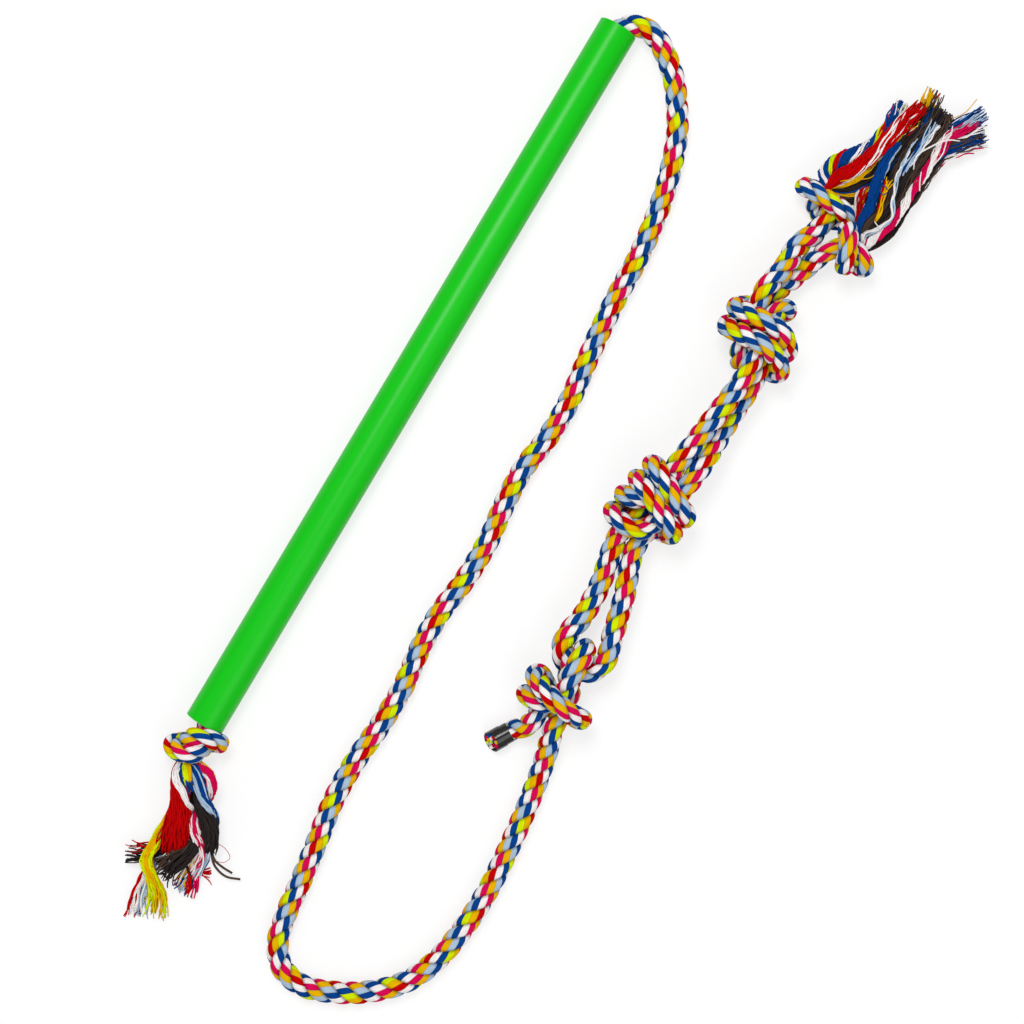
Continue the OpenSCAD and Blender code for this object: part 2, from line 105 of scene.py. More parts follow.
standing_shares = [
    [0.85, -2, -1, 1], [0.6, -1.2, -0.55, 0.4], [0.55, -0.5, -0.43], [0.55, 0.2, -0.45],
    [0.45, 0.85, -0.7], [0.25, 1.3, -1.05, 0.5]]
wrap_shares = [
    [0, 1.1, 0.62, 0.4], [0.02, 0.62, 0.47], [-0.12, 0.2, 0.5], [-0.6, -0.12, 0.55],
    [-1.2, -0.27, 0.35], [-1.62, -0.28, -0.4], [-1.37, -0.35, -1.23], [-0.5, -0.38, -1.57],
    [0.7, -0.18, -1.48], [1.5, -0.05, -0.9], [1.62, 0.1, -0.05], [1.25, 0.15, 0.9], [0.4, 0.2, 1.55],
    [-0.6, 0.4, 1.45], [-1.4, 0.65, 0.8], [-1.75, 0.88, 0.05], [-1.5, 1, -0.55], [-0.95, 0.72, -0.85],
    [-0.63, 0.1, -0.58], [-0.57, -0.5, -0.48], [-0.56, -1.2, -0.65, 0.2], [-0.66, -1.75, -0.95, 0.6]]
tie_middle = (link_x + 0.13 * knot_d, link_y - link_r - 2.16 * knot_d, 2.12 * knot_d)
link_turns = [-112, -90, -60, -30, 0, 30, 60, 90, 112]
link_route = [[link_x, link_y - link_r + link_r * math.cos(math.radians(t)),
               link_z + link_r * math.sin(math.radians(t)), rope_r] for t in link_turns]
tail_length = 0.017
tape_wall = 0.0006
tail_shares = [(0.0, 0.06, 1.0), (0.09, 0.0, 1.0), (0.17, 0.0, 0.95), (0.3, 0.0, 0.84),
               (0.62, 0.0, 0.8)]
tail_turn = math.radians(-120)
tail_way = np.array((math.cos(tail_turn), math.sin(tail_turn)))
tail_start = np.array((link_x - 0.86 * rope_d, link_y - 4.87 * rope_d))
tail_r = rope_r * 0.93
tail_z = tail_r + tape_wall
tail_route = [[*(tail_start + tail_way * tail_length * share), tail_z + lift * rope_d, tail_r * squeeze]
              for share, lift, squeeze in tail_shares]
knot_plump = 1.07


def tied(shares, middle, yaw, roll, size, plump=knot_plump):
    """A knot's shares [right, along, up, ease], rolled about its length, turned about Z and placed."""
    yaw, roll = math.radians(yaw), math.radians(roll)
    route = []
    for right, ahead, up, *ease in shares:
        flat = right * math.cos(roll) + up * math.sin(roll)
        high = up * math.cos(roll) - right * math.sin(roll)
        x = flat * math.cos(yaw) - ahead * math.sin(yaw)
        y = flat * math.sin(yaw) + ahead * math.cos(yaw)
        squeezed = plump * size / 2
        radius = squeezed + (rope_r - squeezed) * (ease[0] if ease else 0)
        route.append([middle[0] + size * x, middle[1] + size * y, middle[2] + size * high, radius])
    return route


def run_along(route, gap):
    """Even samples of the smooth curve through a route's points, placed in the row's frame."""
    points = np.array(route, float) + datum
    chords = np.linalg.norm(np.diff(points[:, :3], axis=0), axis=1)[:, None]
    lines = np.diff(points, axis=0) / chords
    slopes = np.vstack((lines[:1], (lines[:-1] * chords[1:] + lines[1:] * chords[:-1])
                        / (chords[:-1] + chords[1:]), lines[-1:]))
    fine = []
    for i, chord in enumerate(chords[:, 0]):
        t = np.linspace(0, 1, max(4, math.ceil(4 * chord / gap)), endpoint=False)[:, None]
        fine.append((2 * t**3 - 3 * t**2 + 1) * points[i] + (t**3 - 2 * t**2 + t) * chord * slopes[i]
                    + (3 * t**2 - 2 * t**3) * points[i + 1] + (t**3 - t**2) * chord * slopes[i + 1])
    fine = np.vstack((*fine, points[-1:]))
    run = np.concatenate(([0.0], np.cumsum(np.linalg.norm(np.diff(fine[:, :3], axis=0), axis=1))))
    even = np.linspace(0, run[-1], max(3, round(run[-1] / gap) + 1))
    return np.stack([np.interp(even, run, column) for column in fine.T], axis=1), even


def unit(vectors):
    """The same directions, each one long."""
    return vectors / np.linalg.norm(vectors, axis=-1, keepdims=True)


def carried_frames(line):
    """The direction of a line at each point, and two square sides carried along it without twist."""
    ahead = unit(np.gradient(line, axis=0))
    start = np.cross(ahead[0], (0, 0, 1) if abs(ahead[0][2]) < 0.9 else (1, 0, 0))
    sides = [start / np.linalg.norm(start)]
    for way in ahead[1:]:
        side = sides[-1] - (sides[-1] @ way) * way
        sides.append(side / np.linalg.norm(side))
    side = np.array(sides)
    return ahead, side, np.cross(ahead, side)


def mesh_piece(name, verts, faces, uvs):
    """A smooth mesh object at the origin, with a UV pair for each corner of its faces."""
    mesh = bpy.data.meshes.new(name)
    mesh.from_pydata(verts, [], faces)
    mesh.polygons.foreach_set("use_smooth", [True] * len(mesh.polygons))
    layer = mesh.uv_layers.new(name="yarn")
    layer.data.foreach_set("uv", np.asarray(uvs, np.float32).ravel())
    mesh.update()
    piece = bpy.data.objects.new(name, mesh)
    bpy.context.scene.collection.objects.link(piece)
    return piece


lay_length = 2.35 * rope_d
ring_gap = 0.0012
strand_count = 3
yarn_count = 5
strand_columns = 12
columns = strand_count * strand_columns
crease_share = 0.32
crease_power = 3
band_turns = 2.1
band_drift = 0.3
crown_share = 1.04


def lay_rope(name, route, start_turn):
    """Three strands laid round a route. U runs over a strand's yarns, and V along the rope."""
    samples, run = run_along(route, ring_gap)
    centre, radius = samples[:, :3], samples[:, 3:]
    ahead, side, up = carried_frames(centre)
    rings = len(run)
    column = np.arange(columns)
    off_crown = np.abs((column % strand_columns) / strand_columns * 2 - 1)
    reach = (radius * (crown_share - crease_share * off_crown ** crease_power))[:, :, None]
    turns = column[None, :] / columns + run[:, None] / lay_length
    turn = (2 * math.pi * turns + start_turn)[:, :, None]
    skin = centre[:, None, :] + reach * (np.cos(turn) * side[:, None, :] + np.sin(turn) * up[:, None, :])
    skin[..., 2] = np.maximum(skin[..., 2], floor_gap)
    ring = np.arange(rings - 1)[:, None]
    after = (column + 1) % columns
    low, high = ring * columns, (ring + 1) * columns
    corners = np.broadcast_arrays(low + column, low + after, high + after, high + column)
    quads = np.stack(corners, axis=-1)
    caps = [list(range(columns))[::-1], [(rings - 1) * columns + j for j in range(columns)]]
    across = (column % strand_columns) / columns
    u = band_turns * across[None, :] + (band_turns + band_drift) * run[:, None] / lay_length
    step = band_turns / columns
    v = np.broadcast_to(run[:, None] / rope_d, u.shape)
    uvs = np.stack((u[:-1], v[:-1], u[:-1] + step, v[:-1], u[1:] + step, v[1:], u[1:], v[1:]), axis=-1)
    cap_uvs = np.vstack((np.stack((u[0], v[0]), axis=1)[::-1], np.stack((u[-1], v[-1]), axis=1)))
    piece = mesh_piece(name, skin.reshape(-1, 3).tolist(), quads.reshape(-1, 4).tolist() + caps,
                       np.vstack((uvs.reshape(-1, 2), cap_uvs)))
    strand = np.concatenate((np.tile(column // strand_columns, rings - 1), (0, 1))).astype(np.float32)
    piece.data.attributes.new("strand", "FLOAT", "FACE").data.foreach_set("value", strand)
    # How far each point lies from its strand's crown, for the painted shade in the creases between strands.
    shaded_crease = np.tile(off_crown ** crease_power, rings).astype(np.float32)
    piece.data.attributes.new("shaded_crease", "FLOAT", "POINT").data.foreach_set("value", shaded_crease)
    return piece, centre, run[-1]


def put(tree, kind, inputs=None, **settings):
    """A new node with its settings, and each input linked to a socket or set to a value."""
    node = tree.nodes.new(kind)
    for name, value in settings.items():
        setattr(node, name, value)
    for key, value in (inputs or {}).items():
        if isinstance(value, bpy.types.NodeSocket):
            tree.links.new(value, node.inputs[key])
        else:
            node.inputs[key].default_value = value
    return node


def sum_of(tree, operation, first, second=0.0):
    """The outcome of one sum on two sockets or values."""
    return put(tree, "ShaderNodeMath", {0: first, 1: second}, operation=operation).outputs[0]


def dye(red, green, blue):
    """A colour as it shows on a screen, from 0 to 255, in the linear values of a shader."""
    shares = [value / 255 for value in (red, green, blue)]
    return tuple(s / 12.92 if s <= 0.04045 else ((s + 0.055) / 1.055) ** 2.4 for s in shares) + (1.0,)


sky = dye(166, 187, 208)
orange = dye(224, 172, 0)
pink = dye(208, 8, 80)
white = dye(236, 232, 230)
navy = dye(4, 62, 134)
red = dye(188, 2, 4)
neon = dye(204, 224, 4)
black = dye(44, 38, 37)
brown = dye(76, 60, 52)
first_strand = [white, pink, orange, sky, navy]
second_strand = [orange, sky, navy, white, pink]
third_strand = [red, white, navy, neon, orange]


def cotton_fibres_group():
    """Fine fibres along a yarn: a shade for its colour and a height for its bump."""
    tree = bpy.data.node_groups.new("cotton_fibres", "ShaderNodeTree")
    tree.interface.new_socket("Across", in_out="INPUT", socket_type="NodeSocketFloat")
    tree.interface.new_socket("Along", in_out="INPUT", socket_type="NodeSocketFloat")
    tree.interface.new_socket("Shade", in_out="OUTPUT", socket_type="NodeSocketFloat")
    tree.interface.new_socket("Height", in_out="OUTPUT", socket_type="NodeSocketFloat")
    given = put(tree, "NodeGroupInput")
    lean = sum_of(tree, "MULTIPLY", given.outputs["Along"], 0.35)
    leaning = sum_of(tree, "ADD", given.outputs["Across"], lean)
    place = put(tree, "ShaderNodeCombineXYZ", {0: sum_of(tree, "MULTIPLY", leaning, 9.0),
                                               1: sum_of(tree, "MULTIPLY", given.outputs["Along"], 2.2)})
    fibres = put(tree, "ShaderNodeTexNoise", {"Vector": place.outputs[0], "Scale": 1.0, "Detail": 3.0,
                                              "Roughness": 0.6})
    shade = put(tree, "ShaderNodeMapRange", {0: fibres.outputs[0], 1: 0.25, 2: 0.75, 3: 0.78, 4: 1.1})
    put(tree, "NodeGroupOutput", {"Shade": shade.outputs[0], "Height": fibres.outputs[0]})
    return tree


cotton_fibres = cotton_fibres_group()


def laid_cotton_material():
    """Cotton yarns in five bands on each strand, the creases between them lower and in painted shade."""
    material = bpy.data.materials.new("laid_cotton")
    material.use_nodes = True
    tree = material.node_tree
    tree.nodes.clear()
    uv = put(tree, "ShaderNodeUVMap", uv_map="yarn")
    strand = put(tree, "ShaderNodeAttribute", attribute_name="strand")
    strand_shade_mask = put(tree, "ShaderNodeAttribute", attribute_name="shaded_crease")
    split = put(tree, "ShaderNodeSeparateXYZ", {0: uv.outputs[0]})
    yarns = first_strand + second_strand + third_strand
    across = sum_of(tree, "MULTIPLY", split.outputs[0], float(yarn_count))
    place = sum_of(tree, "ADD", sum_of(tree, "FRACT", split.outputs[0]), strand.outputs["Fac"])
    bands = put(tree, "ShaderNodeValToRGB", {0: sum_of(tree, "DIVIDE", place, float(strand_count))})
    bands.color_ramp.interpolation = "CONSTANT"
    stops = bands.color_ramp.elements
    stops.remove(stops[-1])
    for i, colour in enumerate(yarns):
        stop = stops[0] if i == 0 else stops.new(i / len(yarns))
        stop.color = colour
    fibres = put(tree, "ShaderNodeGroup", node_tree=cotton_fibres)
    tree.links.new(across, fibres.inputs["Across"])
    tree.links.new(split.outputs[1], fibres.inputs["Along"])
    # Painted shade: the creases between yarns darken to 0.72 and those between strands to 0.45.
    middle = sum_of(tree, "ABSOLUTE", sum_of(tree, "SUBTRACT", sum_of(tree, "FRACT", across), 0.5))
    shaded_crease = put(tree, "ShaderNodeMapRange", {0: middle, 1: 0.4, 2: 0.5, 3: 1.0, 4: 0.72})
    strand_crease_shade = put(tree, "ShaderNodeMapRange", {0: strand_shade_mask.outputs["Fac"], 1: 0.3, 2: 1.0, 3: 1.0, 4: 0.45})
    tone_and_shade = sum_of(tree, "MULTIPLY", shaded_crease.outputs[0], fibres.outputs["Shade"])
    tone_and_shade = sum_of(tree, "MULTIPLY", tone_and_shade, strand_crease_shade.outputs[0])
    colour = put(tree, "ShaderNodeVectorMath", {0: bands.outputs[0], "Scale": tone_and_shade}, operation="SCALE")
    height = sum_of(tree, "ADD", shaded_crease.outputs[0], sum_of(tree, "MULTIPLY", fibres.outputs["Height"], 0.5))
    bump = put(tree, "ShaderNodeBump", {"Height": height, "Strength": 0.6, "Distance": 0.0006})
    shader = put(tree, "ShaderNodeBsdfPrincipled", {"Base Color": colour.outputs[0], "Roughness": 0.85,
                                                    "Normal": bump.outputs[0],
                                                    "Specular IOR Level": 0.04})
    put(tree, "ShaderNodeOutputMaterial", {0: shader.outputs[0]})
    return material


laid_cotton = laid_cotton_material()
strand_turn = 0.4
lead_route = (mouth_route + floor_route + tied(standing_shares, tie_middle, 0, 0, knot_d) + link_route
              + tied(wrap_shares, tie_middle, 0, 0, knot_d) + tail_route)
lead, lead_line, lead_length = lay_rope("lead_rope_strands", lead_route, strand_turn)
lead.data.materials.append(laid_cotton)
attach(lead, "lead")
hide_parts("lead_rope", "tie_knot", "lead_tail")

# The tape: a short wrap of glossy black tape in two turns round the lead's end, cut off at a slant.
# The ends of the cut yarns show inside it as coloured dots.
tape_start_share = 0.18
tape_cover_share = 0.78
turn_step = 0.0004
second_turn_share = 0.62
cut_slant = math.radians(33)
tape_sides = 48
sharp_edge = math.radians(40)
tape_cover = tail_length * tape_cover_share
tape_turns = []
for radius, share in ((tail_r + tape_wall - turn_step, 1.0), (tail_r + tape_wall, second_turn_share)):
    depth = tape_cover * share
    middle = tail_start + tail_way * (tail_length * tape_start_share + tape_cover - depth / 2)
    bpy.ops.object.select_all(action="DESELECT")
    bpy.ops.mesh.primitive_cylinder_add(vertices=tape_sides, radius=radius, depth=depth,
                                        end_fill_type="NOTHING")
    turn = bpy.context.active_object
    bpy.ops.object.mode_set(mode="EDIT")
    bpy.ops.mesh.select_mode(type="VERT")
    bpy.ops.mesh.select_all(action="DESELECT")
    bpy.ops.object.mode_set(mode="OBJECT")
    for vertex in turn.data.vertices:
        vertex.select = vertex.co.z > 0
    bpy.ops.object.mode_set(mode="EDIT")
    end_middle = (0.0, 0.0, depth / 2)
    bpy.ops.transform.rotate(value=cut_slant, orient_axis="Y", orient_type="GLOBAL",
                             center_override=end_middle)
    bpy.ops.transform.resize(value=(1 / math.cos(cut_slant), 1.0, 1.0), center_override=end_middle)
    bpy.ops.object.mode_set(mode="OBJECT")
    turn.rotation_euler = (0.0, math.pi / 2, tail_turn)
    turn.location = (*(middle + datum[:2]), tail_z)
    bpy.ops.object.transform_apply(location=True, rotation=True, scale=True)
    wall = turn.modifiers.new("wall", "SOLIDIFY")
    wall.thickness = tape_wall
    wall.offset = -1.0
    bpy.ops.object.modifier_apply(modifier=wall.name)
    tape_turns.append(turn)
bpy.ops.object.select_all(action="DESELECT")
for turn in tape_turns:
    turn.select_set(True)
bpy.context.view_layer.objects.active = tape_turns[0]
bpy.ops.object.join()
tape = bpy.context.active_object
tape.name = "end_tape_wrap"
bpy.ops.object.shade_smooth_by_angle(angle=sharp_edge)


def tape_material():
    """Glossy black vinyl with faint creases across it."""
    material = bpy.data.materials.new("black_tape")
    material.use_nodes = True
    tree = material.node_tree
    tree.nodes.clear()
    coords = put(tree, "ShaderNodeTexCoord")
    creases = put(tree, "ShaderNodeTexNoise", {"Vector": coords.outputs["Object"], "Scale": 260.0,
                                               "Detail": 1.0})
    bump = put(tree, "ShaderNodeBump", {"Height": creases.outputs[0], "Strength": 0.07, "Distance": 0.0004})
    shader = put(tree, "ShaderNodeBsdfPrincipled", {"Base Color": dye(14, 14, 14), "Roughness": 0.14,
                                                    "Normal": bump.outputs[0]})
    put(tree, "ShaderNodeOutputMaterial", {0: shader.outputs[0]})
    return material


tape.data.materials.append(tape_material())
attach(tape, "lead")
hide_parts("end_tape")


def yarn_material():
    """Loose cotton yarn in the colour that each thread carries, with its fibres along it."""
    material = bpy.data.materials.new("loose_yarn")
    material.use_nodes = True
    tree = material.node_tree
    tree.nodes.clear()
    uv = put(tree, "ShaderNodeUVMap", uv_map="yarn")
    split = put(tree, "ShaderNodeSeparateXYZ", {0: uv.outputs[0]})
    own = put(tree, "ShaderNodeAttribute", attribute_name="dye")
    fibres = put(tree, "ShaderNodeGroup", node_tree=cotton_fibres)
    tree.links.new(split.outputs[0], fibres.inputs["Across"])
    tree.links.new(split.outputs[1], fibres.inputs["Along"])
    colour = put(tree, "ShaderNodeVectorMath", {0: own.outputs["Color"], "Scale": fibres.outputs["Shade"]},
                 operation="SCALE")
    bump = put(tree, "ShaderNodeBump", {"Height": fibres.outputs["Height"], "Strength": 0.5,
                                        "Distance": 0.0003})
    shader = put(tree, "ShaderNodeBsdfPrincipled", {"Base Color": colour.outputs[0], "Roughness": 0.85,
                                                    "Normal": bump.outputs[0],
                                                    "Specular IOR Level": 0.04})
    put(tree, "ShaderNodeOutputMaterial", {0: shader.outputs[0]})
    return material


loose_yarn = yarn_material()
thread_sides = 6


def spin_threads(name, threads):
    """One piece of many thin round threads, each given as its line, its radii and its colour."""
    verts, faces, uvs, colours = [], [], [], []
    corner = 2 * math.pi * np.arange(thread_sides) / thread_sides
    for line, radii, colour in threads:
        ahead, side, up = carried_frames(line)
        reach = (np.cos(corner)[None, :, None] * side[:, None, :]
                 + np.sin(corner)[None, :, None] * up[:, None, :])
        first = sum(len(part) for part in verts)
        verts.append((line[:, None, :] + radii[:, None, None] * reach).reshape(-1, 3))
        colours.append(np.tile(colour, (len(line) * thread_sides, 1)))
        run = np.concatenate(([0.0], np.cumsum(np.linalg.norm(np.diff(line, axis=0), axis=1)))) / rope_d
        for i in range(len(line) - 1):
            low, high = first + i * thread_sides, first + (i + 1) * thread_sides
            for j in range(thread_sides):
                k = (j + 1) % thread_sides
                faces.append((low + j, low + k, high + k, high + j))
                u, w = j / thread_sides, (j + 1) / thread_sides
                uvs.append(((u, run[i]), (w, run[i]), (w, run[i + 1]), (u, run[i + 1])))
        last = first + (len(line) - 1) * thread_sides
        faces.append(tuple(first + j for j in reversed(range(thread_sides))))
        faces.append(tuple(last + j for j in range(thread_sides)))
        uvs.append(((0.0, run[0]),) * thread_sides)
        uvs.append(((0.0, run[-1]),) * thread_sides)
    piece = mesh_piece(name, np.vstack(verts).tolist(), faces, np.vstack(uvs))
    piece.data.attributes.new("dye", "FLOAT_COLOR", "POINT").data.foreach_set(
        "color", np.vstack(colours).astype(np.float32).ravel())
    piece.data.materials.append(loose_yarn)
    return piece


cut_yarn_shares = [
    (0.0, 0.0, neon), (0.45, 0.0, red), (0.14, 0.43, navy), (-0.36, 0.26, white),
    (-0.36, -0.26, orange), (0.14, -0.43, sky), (0.72, 0.36, pink), (0.25, 0.76, orange),
    (-0.36, 0.72, red), (-0.8, 0.12, navy), (-0.65, -0.48, pink), (-0.08, -0.8, neon),
    (0.58, -0.55, white)]
cut_r = rope_r * 0.22
cut_spread = tail_r * 0.84
cut_depth = 0.009
cut_proud = 0.0008
tape_back = tail_length * (1 - tape_start_share - tape_cover_share)
cut_side = np.array((-tail_way[1], tail_way[0], 0.0))
cut_shares = np.linspace(0.0, 1.0, 4)
cut_r_shares = np.array((1.0, 1.0, 1.0, 0.8))
tail_end = np.array((*(tail_start + tail_way * tail_length), tail_z)) + datum[:3]
cut_threads = []
for right, up, colour in cut_yarn_shares:
    place = tail_end + cut_spread * (right * cut_side + np.array((0.0, 0.0, up)))
    reach = cut_proud - tape_back - cut_spread * up * math.tan(cut_slant)
    stops = -cut_depth + (cut_depth + reach) * cut_shares
    line = place + stops[:, None] * np.array((*tail_way, 0.0))
    cut_threads.append((line, cut_r_shares * cut_r, colour))
cut_end = spin_threads("cut_yarn_ends", cut_threads)
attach(cut_end, "lead")

# The handle: a plain length of green plastic tube, cut square at both ends. It slides and turns
# freely on the rope that runs through it.
rim_width = 0.0004
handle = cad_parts["handle_tube"]
rim = handle.modifiers.new("rim", "BEVEL")
rim.width = rim_width
rim.segments = 2
rim.limit_method = "ANGLE"
rim.angle_limit = math.radians(60)


def tube_material():
    """Satin green plastic with faint lines along it from the way it was drawn."""
    material = bpy.data.materials.new("green_tube")
    material.use_nodes = True
    tree = material.node_tree
    tree.nodes.clear()
    coords = put(tree, "ShaderNodeTexCoord")
    drawn = put(tree, "ShaderNodeMapping", {"Vector": coords.outputs["Object"],
                                            "Scale": (300.0, 3.0, 300.0)})
    lines = put(tree, "ShaderNodeTexNoise", {"Vector": drawn.outputs[0], "Scale": 1.0, "Detail": 3.0})
    shade = put(tree, "ShaderNodeMapRange", {0: lines.outputs[0], 1: 0.3, 2: 0.7, 3: 0.96, 4: 1.04})
    colour = put(tree, "ShaderNodeVectorMath", {0: dye(2, 182, 10)[:3], "Scale": shade.outputs[0]},
                 operation="SCALE")
    rough = put(tree, "ShaderNodeMapRange", {0: lines.outputs[0], 1: 0.3, 2: 0.7, 3: 0.29, 4: 0.37})
    shader = put(tree, "ShaderNodeBsdfPrincipled", {"Base Color": colour.outputs[0],
                                                    "Roughness": rough.outputs[0],
                                                    "Specular IOR Level": 0.2})
    put(tree, "ShaderNodeOutputMaterial", {0: shader.outputs[0]})
    return material


handle.data.materials.clear()
handle.data.materials.append(tube_material())

# The butt: the same rope inside the tube, and the overhand stop knot that it ends in below the tube,
# too thick to be pulled into the bore.
overhand_half_shares = [
    [0.3, -1.9, 0, 1], [0.46, -1.1, 0], [0.53, -0.45, 0], [0.54, 0.1, -0.25], [0.32, 0.45, -0.82],
    [-0.45, 0.66, -1.12], [-1.22, 0.52, -0.78], [-1.58, 0.3, 0], [-1.12, 0.15, 0.8]]
overhand_shares = (overhand_half_shares + [[0, 0, 1]]
                   + [[-x, -y, *rest] for x, y, *rest in reversed(overhand_half_shares[1:])]
                   + [[-0.42, 1.4, 0]])
stop_d = rope_d * 0.68
stop_plump = 1.25
stop_yaw = 200
stop_roll = 180
seat_gap = 0.0004
stop_middle = (0.24 * stop_d, -1.4 * stop_d - seat_gap, 1.62 * stop_d)
core_route = [
    [core_side, core_top, tube_r, rope_r],
    [core_side, core_top - 2 * rope_d, tube_r, rope_r],
    [core_side * 0.8, tube_length * 0.5, tube_r, rope_r],
    [core_side * 0.7, 4 * rope_d, tube_r + bore_free * 0.2, rope_r],
    [core_side * 0.6, 1.5 * rope_d, tube_r + bore_free * 0.35, rope_r],
]
stop_knot = tied(overhand_shares, stop_middle, stop_yaw, stop_roll, stop_d, stop_plump)
stop_route = core_route + stop_knot[1:]
butt = lay_rope("butt_rope_strands", stop_route[:-2], strand_turn)[0]
butt.data.materials.append(laid_cotton)
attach(butt, "butt")
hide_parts("core_rope", "stop_knot")

# The toy: a second length of the same rope, doubled round the lead's loop. Two overhand knots are tied
# in the doubled rope and one in each end, and the ends are left to fray.
right_rope_shares = [
    [0.56, -2.1, -0.5, 0.4], [0.52, -1, -0.5], [0.52, -0.1, -0.5], [0.5, 0.7, -0.5],
    [0.2, 1.4, -0.55], [-0.5, 1.75, -0.6], [-1.25, 1.72, -0.3], [-1.6, 1.6, 0.5], [-1.2, 1.5, 1.35],
    [-0.3, 1.2, 1.6], [0.6, 0.9, 1.55], [1.4, 0.68, 1.08], [1.6, 0.58, 0.1], [1.52, 0.48, -0.87],
    [1, 0.32, -1.53], [0.1, 0.02, -1.64], [-0.8, -0.3, -1.52], [-1.5, -0.5, -0.95],
    [-1.7, -0.55, -0.1], [-1.3, -0.42, 0.44], [-0.66, 0.05, 0.52], [-0.51, 0.9, 0.52],
    [-0.56, 2.1, 0.52, 0.4]]
left_rope_shares = [[x, -y, -z, *ease] for x, y, z, *ease in reversed(right_rope_shares)]
end_d = rope_d * 0.74
end_plump = 1.18
lower_yaw = -9
upper_yaw = 187.5
upper_roll = -60
left_yaw = 4
right_yaw = -50
right_roll = 255
toy_strand_turn = 2.8
lower_reach = 0.097
knot_spacing = 0.124
left_leg = 0.0915
right_leg = 0.074
upper_reach = lower_reach + knot_spacing
lower_middle = (link_x - 0.7 * knot_d, link_y + lower_reach, 2.16 * knot_d)
upper_middle = (link_x - 0.65 * knot_d, link_y + upper_reach, 2.35 * knot_d)
left_middle = (link_x - 1.18 * knot_d, link_y + upper_reach + left_leg, 1.65 * end_d)
right_middle = (link_x + 1.24 * knot_d, link_y + upper_reach + right_leg, 2.1 * end_d)
lower_right = tied(right_rope_shares, lower_middle, lower_yaw, 0, knot_d)
lower_left = tied(left_rope_shares, lower_middle, lower_yaw, 0, knot_d)
upper_right = tied(right_rope_shares, upper_middle, upper_yaw, upper_roll, knot_d)
upper_left = tied(left_rope_shares, upper_middle, upper_yaw, upper_roll, knot_d)
left_end = tied(overhand_shares, left_middle, left_yaw, 0, end_d, end_plump)
right_end = tied(overhand_shares, right_middle, right_yaw, right_roll, end_d, end_plump)[1:]


def leg(shares, start, span):
    """A leg's points: shares of the rope aside and up, and of the span along."""
    return [[link_x + x * rope_d, link_y + start + y * span, z * rope_d, rope_r] for x, y, z in shares]


top_left = leg([[-1.09, 0.645, 1.44], [-1.12, 0.47, 1.78]], upper_reach, left_leg)
top_right = leg([[-0.54, 0.54, 0.93], [-0.26, 0.68, 1]], upper_reach, right_leg)
mid_left = leg([[-0.42, 0.525, 2.7]], lower_reach, knot_spacing)
mid_right = leg([[0.28, 0.555, 1.56]], lower_reach, knot_spacing)
bight_left_shares = [[0.15, 2.67, -0.11], [0.18, 1.19, 0]]
bight_right_shares = [[-0.3, 1.19, 0], [-0.7, 2.8, -0.11]]
bight_steps = 8
bight_turns = [math.pi * i / bight_steps for i in range(bight_steps + 1)]
bight_route = (
    [[link_x - link_r + x * rope_d, link_y + y * rope_d, link_z + z * rope_d, rope_r]
     for x, y, z in bight_left_shares]
    + [[link_x - link_r * math.cos(t), link_y - link_r * math.sin(t), link_z, rope_r]
       for t in bight_turns]
    + [[link_x + link_r + x * rope_d, link_y + y * rope_d, link_z + z * rope_d, rope_r]
       for x, y, z in bight_right_shares])
toy_route = (left_end[::-1] + top_left + upper_right + mid_right + lower_left[::-1] + bight_route
             + lower_right + mid_left + upper_left[::-1] + top_right + right_end)
toy = lay_rope("toy_rope_strands", toy_route[2:-2], toy_strand_turn)[0]
toy.data.materials.append(laid_cotton)
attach(toy, "toy")
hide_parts("toy_bight", "toy_lower_knot_left", "toy_lower_knot_right", "toy_mid_leg_left",
            "toy_mid_leg_right", "toy_upper_knot_left", "toy_upper_knot_right", "toy_top_leg_left",
            "toy_top_leg_right", "toy_end_knot_left", "toy_end_knot_right")

# The frayed ends: past the stop knot and the two end knots the rope opens into sheaves of loose yarn.
# They start tight inside the knot, keep some of the strand's twist and spread towards cut tips.
thread_r = 0.0005
thread_rings = 30
knot_reach = 8.0
mm = 0.001
sheaf_gap = 0.001
stray_gap = 0.0012
tip_share = 0.16
sway_reach = 0.0006
sway_lengths = (0.012, 0.026)
tip_drift = 0.0022
flat_share = 0.7
sway_up_share = 0.6
own_colour_share = 0.9
golden_turn = math.pi * (3 - math.sqrt(5))
chance = random.Random(7)


def picture_steps(route, steps):
    """Steps [right, up, height, half width] in mm from a rope's end, right and up as in the picture."""
    x, y = route[-1][:2]
    across, along = math.cos(view_turn), math.sin(view_turn)
    return [[x + mm * (right * across - up * along), y + mm * (right * along + up * across),
             mm * height, mm * half_width] for right, up, height, half_width in steps]


